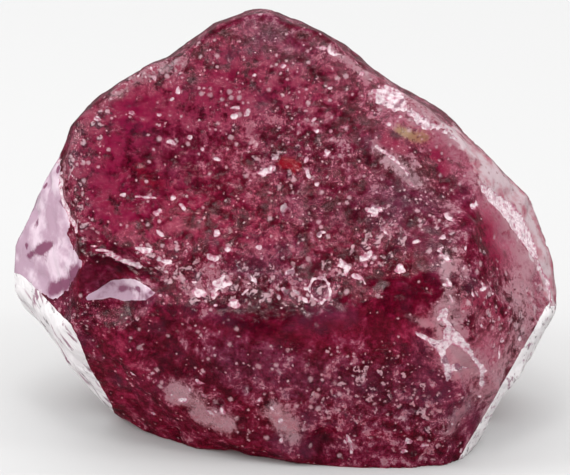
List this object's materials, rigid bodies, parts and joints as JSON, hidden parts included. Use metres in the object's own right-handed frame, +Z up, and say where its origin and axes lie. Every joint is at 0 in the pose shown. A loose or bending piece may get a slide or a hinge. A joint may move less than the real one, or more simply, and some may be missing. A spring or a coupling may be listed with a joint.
{
  "type": "raw ruby crystal",
  "caption": "Raw translucent red ruby, broken and water-worn, with a shallow bowl, pitted ledges, a pale fracture window and a flat face to rest on.",
  "frame": {"origin": "on the resting face, under the middle of the stone's bounding box", "axes": "+Z up from the resting face, +X along the stone's longest extent, -Y out of the front, which has the shallow bowl"},
  "size_m": [0.02, 0.0142, 0.0152],
  "materials": {
    "ruby": "natural broken surface, glossy with fine pits, see-through dark red, IOR 1.77"
  },
  "bodies": {
    "root": {"ruby_crystal": "ruby"}
  },
  "joints": []
}
